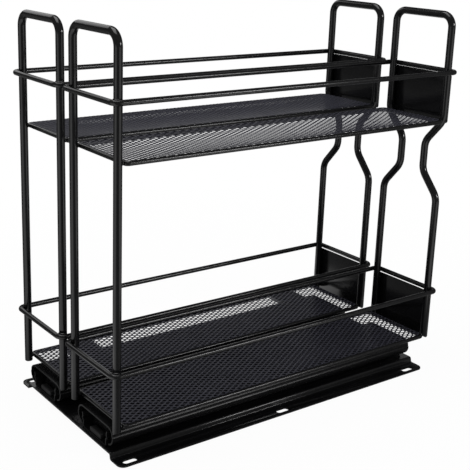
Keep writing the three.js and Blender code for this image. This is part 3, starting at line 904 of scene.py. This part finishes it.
BAKED_COAT = coat_group()
DRAW_LINES = draw_lines_group()
FINISHES = {
    "powder coat": coated("powder_coat", shine=0.5, dark=(0.0035, 0.0035, 0.0038),
                          light=(0.0065, 0.0065, 0.0073), smooth=0.14, rough=0.2, peel=850.0),
    # The mesh coat is the powder coat's black painted many times lighter: a painted sheen that stands in for
    # overhead light on the tilted strands.
    "mesh coat and painted sheen": coated("mesh_coat", shine=0.3, dark=(0.031, 0.031, 0.042),
                        light=(0.057, 0.057, 0.075), smooth=0.3, rough=0.4, peel=1000.0),
    "rail coat": rail_finish(),
    "zinc": bright_metal("bright_zinc", (0.62, 0.62, 0.6), smooth=0.24, rough=0.4),
    "ball steel": bright_metal("ball_steel", (0.7, 0.7, 0.71), smooth=0.08, rough=0.14),
    "plastic": plastic_finish(),
}


# Studio: camera, background, floor and lamps, in metres

CAMERA_PLACE = Vector((-0.56533, 0.43953, 0.34337))
CAMERA_AZIMUTH = math.radians(234.390)
CAMERA_ELEVATION = math.radians(15.422)
CAMERA_ROLL = math.radians(1.612)
CAMERA_SENSOR = 36.0
CAMERA_LENS = 75.22
CAMERA_SHIFT = (0.0700, -0.0836)
CAMERA_NEAREST = 0.01

# Light of the room: AMBIENT is what matt surfaces get, and the other values are what reflections show. A
# fade, a rise or a fall is a span between straight behind the rack, at -1, and the camera, at 1. A reach is a
# span of distances from the middle of the rack.
WHITE = (1, 1, 1, 1)
AMBIENT = 0.45
ROOM_FADE = (-0.5, 0.2)
ROOM_LIGHT = (0.06, 0.18)
BACKDROP_FADE = (-0.985, -0.85)
FLOOR_FADE = (-0.96, -0.85)
ROOM_FLOOR = 0.15
SIDE_RISE = (0.1, 0.35)
SIDE_FALL = (0.78, 0.92)
SIDE_REACH = (0.14, 0.2)

# The floor: its disc, and how white it is by the rack, where a little of the shadow shows
FLOOR_RADIUS = 9.0
FLOOR_SIDES = 64
FLOOR_Z = -0.0003
FLOOR_COLOUR = (0.86, 0.86, 0.86, 1)
FLOOR_WHITE = 0.96
SHADOW_REACH = (0.2, 0.6)


def camera_axes():
    """The camera's right, up and backward directions."""
    cos, sin = math.cos(CAMERA_AZIMUTH), math.sin(CAMERA_AZIMUTH)
    level = math.cos(CAMERA_ELEVATION)
    right = Vector((cos, sin, 0))
    back = Vector((sin * level, -cos * level, math.sin(CAMERA_ELEVATION)))
    up = back.cross(right)
    roll_cos, roll_sin = math.cos(CAMERA_ROLL), math.sin(CAMERA_ROLL)
    return right * roll_cos + up * roll_sin, up * roll_cos - right * roll_sin, back


def camera():
    """The camera at the photograph's viewing angle."""
    lens = bpy.data.cameras.new("camera")
    lens.sensor_width = CAMERA_SENSOR
    lens.lens = CAMERA_LENS
    lens.shift_x, lens.shift_y = CAMERA_SHIFT
    lens.clip_start = CAMERA_NEAREST
    made = bpy.data.objects.new("camera", lens)
    turn = Matrix(camera_axes()).transposed().to_4x4()
    made.matrix_world = Matrix.Translation(CAMERA_PLACE) @ turn
    bpy.context.scene.collection.objects.link(made)
    bpy.context.scene.camera = made


def ray_kinds(tree):
    """1 for rays from the camera, and 1 for those and the ones that reflections and glass send on."""
    path = tree.nodes.new("ShaderNodeLightPath").outputs
    from_camera = path["Is Camera Ray"]
    sent_on = maximum(tree, path["Is Glossy Ray"], path["Is Transmission Ray"])
    return from_camera, maximum(tree, from_camera, sent_on)


def towards_camera(tree, direction):
    """1 for a direction from the rack to the camera, -1 for one straight behind the rack."""
    back = camera_axes()[2]
    return computed(tree, "DOT_PRODUCT", direction, back, kind="ShaderNodeVectorMath")["Value"]


def background():
    """A white backdrop behind the rack that fades to a dim room on the camera's side."""
    world = bpy.data.worlds.new("studio")
    bpy.context.scene.world = world
    world.use_nodes = True
    tree = world.node_tree
    tree.nodes.clear()
    from_camera, seen = ray_kinds(tree)
    facing = towards_camera(tree, tree.nodes.new("ShaderNodeTexCoord").outputs["Generated"])
    room = ramp(tree, facing, *ROOM_FADE, *ROOM_LIGHT)
    level = maximum(tree, from_camera, ramp(tree, facing, *BACKDROP_FADE, 1.0, room))
    ambient = node(tree, "ShaderNodeBackground", Color=WHITE, Strength=AMBIENT)
    backdrop = node(tree, "ShaderNodeBackground", Color=WHITE, Strength=level)
    out = tree.nodes.new("ShaderNodeOutputWorld")
    tree.links.new(chosen(tree, seen, ambient.outputs[0], backdrop.outputs[0]), out.inputs["Surface"])


def lit_sides(tree, facing, distance):
    """1 on the floor to the left and right of the rack, 0 behind it, on the camera's side and at its foot."""
    sides = product(tree, ramp(tree, facing, *SIDE_RISE), ramp(tree, facing, *SIDE_FALL, 1.0, 0.0))
    return product(tree, sides, ramp(tree, distance, *SIDE_REACH))


def floor_finish():
    """Plain white that keeps a soft shadow round the rack."""
    material = bpy.data.materials.new("floor_white")
    material.use_nodes = True
    tree = material.node_tree
    tree.nodes.clear()
    from_camera, seen = ray_kinds(tree)
    place = tree.nodes.new("ShaderNodeTexCoord").outputs["Object"]
    outward = computed(tree, "NORMALIZE", place, kind="ShaderNodeVectorMath")["Vector"]
    distance = computed(tree, "LENGTH", place, kind="ShaderNodeVectorMath")["Value"]
    facing = towards_camera(tree, outward)
    behind = ramp(tree, facing, *FLOOR_FADE, 1.0, ROOM_FLOOR)
    level = maximum(tree, from_camera, maximum(tree, behind, lit_sides(tree, facing, distance)))
    matt = node(tree, "ShaderNodeBsdfDiffuse", Color=FLOOR_COLOUR)
    white = node(tree, "ShaderNodeEmission", Strength=level)
    share = product(tree, seen, ramp(tree, distance, *SHADOW_REACH, FLOOR_WHITE, 1.0))
    out = tree.nodes.new("ShaderNodeOutputMaterial")
    tree.links.new(chosen(tree, share, matt.outputs[0], white.outputs[0]), out.inputs["Surface"])
    return material


def floor():
    """A disc just under the base plate, which isn't part of the rack."""
    bm = bmesh.new()
    place = Matrix.Translation((0, 0, FLOOR_Z))
    bmesh.ops.create_circle(bm, cap_ends=True, radius=FLOOR_RADIUS, segments=FLOOR_SIDES, matrix=place)
    mesh = bpy.data.meshes.new("floor")
    bm.to_mesh(mesh)
    bm.free()
    mesh.materials.append(floor_finish())
    made = bpy.data.objects.new("floor", mesh)
    bpy.context.scene.collection.objects.link(made)


def softbox(name, place, target, size, power):
    """A rectangular lamp that is aimed at a point."""
    lamp = bpy.data.lights.new(name, "AREA")
    lamp.shape = "RECTANGLE"
    lamp.size, lamp.size_y = size
    lamp.energy = power
    made = bpy.data.objects.new(name, lamp)
    aim = Vector(target) - Vector(place)
    made.matrix_world = Matrix.Translation(place) @ aim.to_track_quat("-Z", "Y").to_matrix().to_4x4()
    bpy.context.scene.collection.objects.link(made)


camera()
background()
floor()
softbox("overhead", place=(0.15, 0.2, 1.3), target=(0, 0, 0.15), size=(1.0, 0.8), power=7.0)
softbox("near_strip", place=(-0.84, -0.5, 0.5), target=(-0.06, 0.03, 0.1), size=(0.35, 0.12), power=2.3)
softbox("far_side", place=(1.1, 0.1, 0.85), target=(0, 0, 0.28), size=(1.0, 0.5), power=1.8)
bpy.context.scene.view_settings.view_transform = "Standard"

base_plate()
for rack, middle in RACKS.items():
    bed_rail(rack, middle)
    rivets(rack, middle)
    stop_blocks(rack, middle)
    ball_cages(rack, middle)
    carrier_rail(rack, middle)
    stop_lug(rack, middle)
    straps(rack, middle)
    rear_loop(rack, middle)
    front_loop(rack, middle)
    for tier in TIERS:
        rings(rack, middle, tier)
        expanded_metal(rack, middle, tier)
        front_panel(rack, middle, tier)
    welds(rack, middle)
